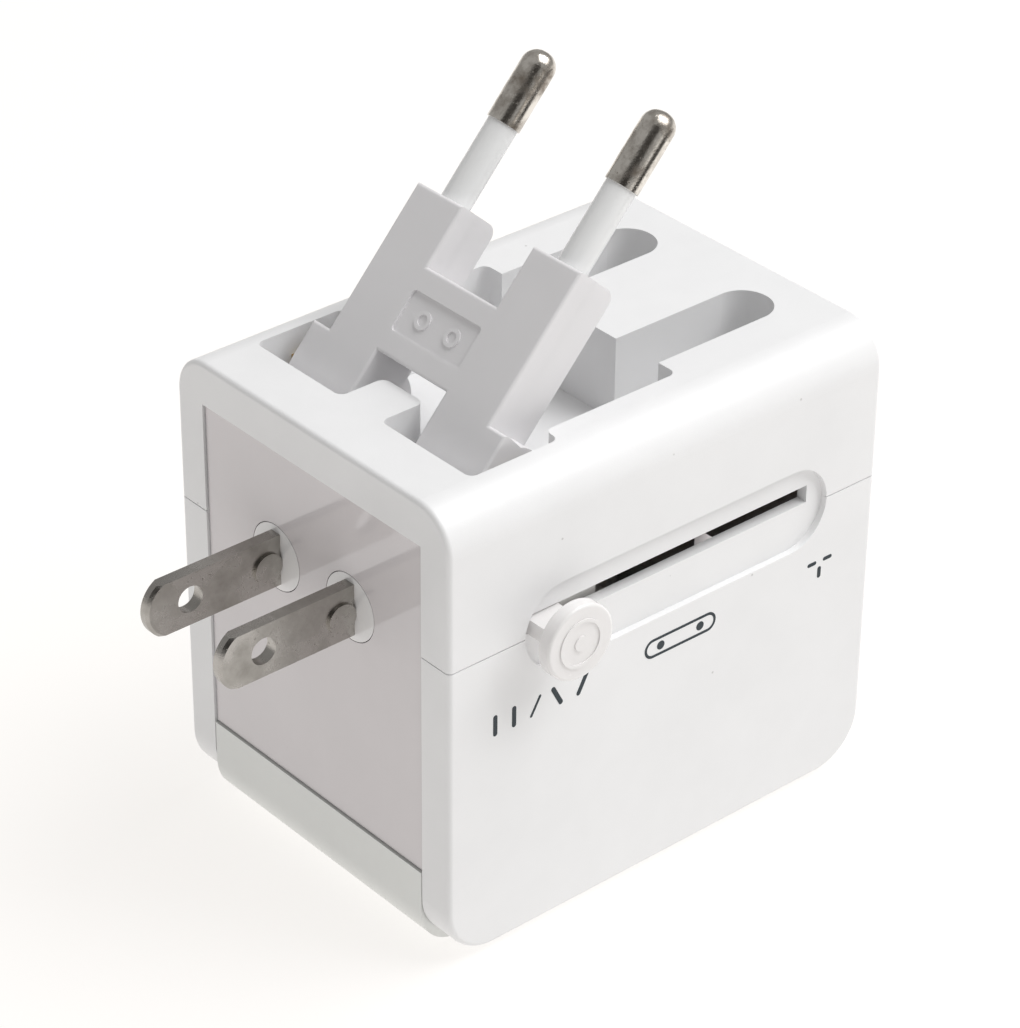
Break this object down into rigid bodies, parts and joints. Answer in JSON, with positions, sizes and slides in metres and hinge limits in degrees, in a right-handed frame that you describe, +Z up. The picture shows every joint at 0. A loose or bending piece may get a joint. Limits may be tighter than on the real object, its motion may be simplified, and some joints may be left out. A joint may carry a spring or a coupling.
{
  "type": "universal travel adapter",
  "caption": "Block-shaped plug adapter with sliding flat blades and rectangular pins, a push knob in a side slot, and a folding frame of round pins.",
  "frame": {"origin": "centre of the flat face of the socket cover that the adapter rests on", "axes": "+X from the face with the flat blades to the face with the rectangular pins, -Y the side with the sliding knob, +Z up towards the folding frame"},
  "size_m": [0.0792, 0.0514, 0.0857],
  "materials": {
    "housing": "fine satin moulded ABS",
    "cover": "fine satin moulded ABS, slightly greyer",
    "face_panel": "glossy moulded polycarbonate",
    "screws": "zinc plated",
    "contact_brass": "stamped strip",
    "fuse": "ceramic tube",
    "pin_metal": "satin nickel plated brass",
    "carriage": "moulded nylon",
    "earth_pin": "moulded nylon",
    "knob": "glossy moulded ABS",
    "spring": "spring steel wire",
    "rotor": "glossy moulded nylon",
    "blade": "satin nickel plated brass",
    "euro_frame": "smooth moulded ABS",
    "pin_tip": "worn bright nickel plating",
    "sleeve": "moulded insulating sleeve"
  },
  "bodies": {
    "casing": {"upper_housing": "housing", "lower_housing": "housing", "socket_cover": "cover", "cover_screws": "screws", "us_face_panel": "face_panel", "uk_face_panel": "face_panel", "neutral_socket_contact": "contact_brass", "live_socket_contact": "contact_brass", "neutral_rail": "contact_brass", "live_rail": "contact_brass", "fuse": "fuse", "fuse_clips": "contact_brass", "near_euro_pivot": "pin_metal", "far_euro_pivot": "pin_metal", "near_euro_contact": "contact_brass", "far_euro_contact": "contact_brass"},
    "carriage": {"carriage_body": "carriage", "carriage_cap": "carriage", "live_uk_pin": "pin_metal", "neutral_uk_pin": "pin_metal", "earth_uk_pin": "earth_pin", "neutral_wiper": "contact_brass", "live_wiper": "contact_brass"},
    "knob": {"push_knob": "knob", "knob_spring": "spring"},
    "near_blade": {"near_blade_rotor": "rotor", "near_us_blade": "blade"},
    "far_blade": {"far_blade_rotor": "rotor", "far_us_blade": "blade"},
    "euro_frame": {"euro_frame_front": "euro_frame", "euro_frame_back": "euro_frame", "near_euro_pin": "pin_tip", "far_euro_pin": "pin_tip", "near_euro_sleeve": "sleeve", "far_euro_sleeve": "sleeve"}
  },
  "joints": [
    {"name": "carriage_slide", "type": "slide", "parent": "casing", "child": "carriage", "axis": [1, 0, 0], "range_m": [0, 0.0362]},
    {"name": "knob_push", "type": "slide", "parent": "carriage", "child": "knob", "axis": [0, 1, 0], "range_m": [0, 0.0018], "stiffness_N_per_m": 400, "deforming": ["knob_spring"]},
    {"name": "near_blade_turn", "type": "hinge", "parent": "carriage", "child": "near_blade", "pos_m": [-0.0309, -0.00635, 0.03885], "axis": [1, 0, 0], "range_deg": [0, 30]},
    {"name": "far_blade_turn", "type": "hinge", "parent": "carriage", "child": "far_blade", "pos_m": [-0.0309, 0.00635, 0.03885], "axis": [1, 0, 0], "range_deg": [-30, 0]},
    {"name": "euro_fold", "type": "hinge", "parent": "casing", "child": "euro_frame", "pos_m": [-0.01707, 0, 0.05258], "axis": [0, 1, 0], "range_deg": [-42.3, 47.7]}
  ]
}
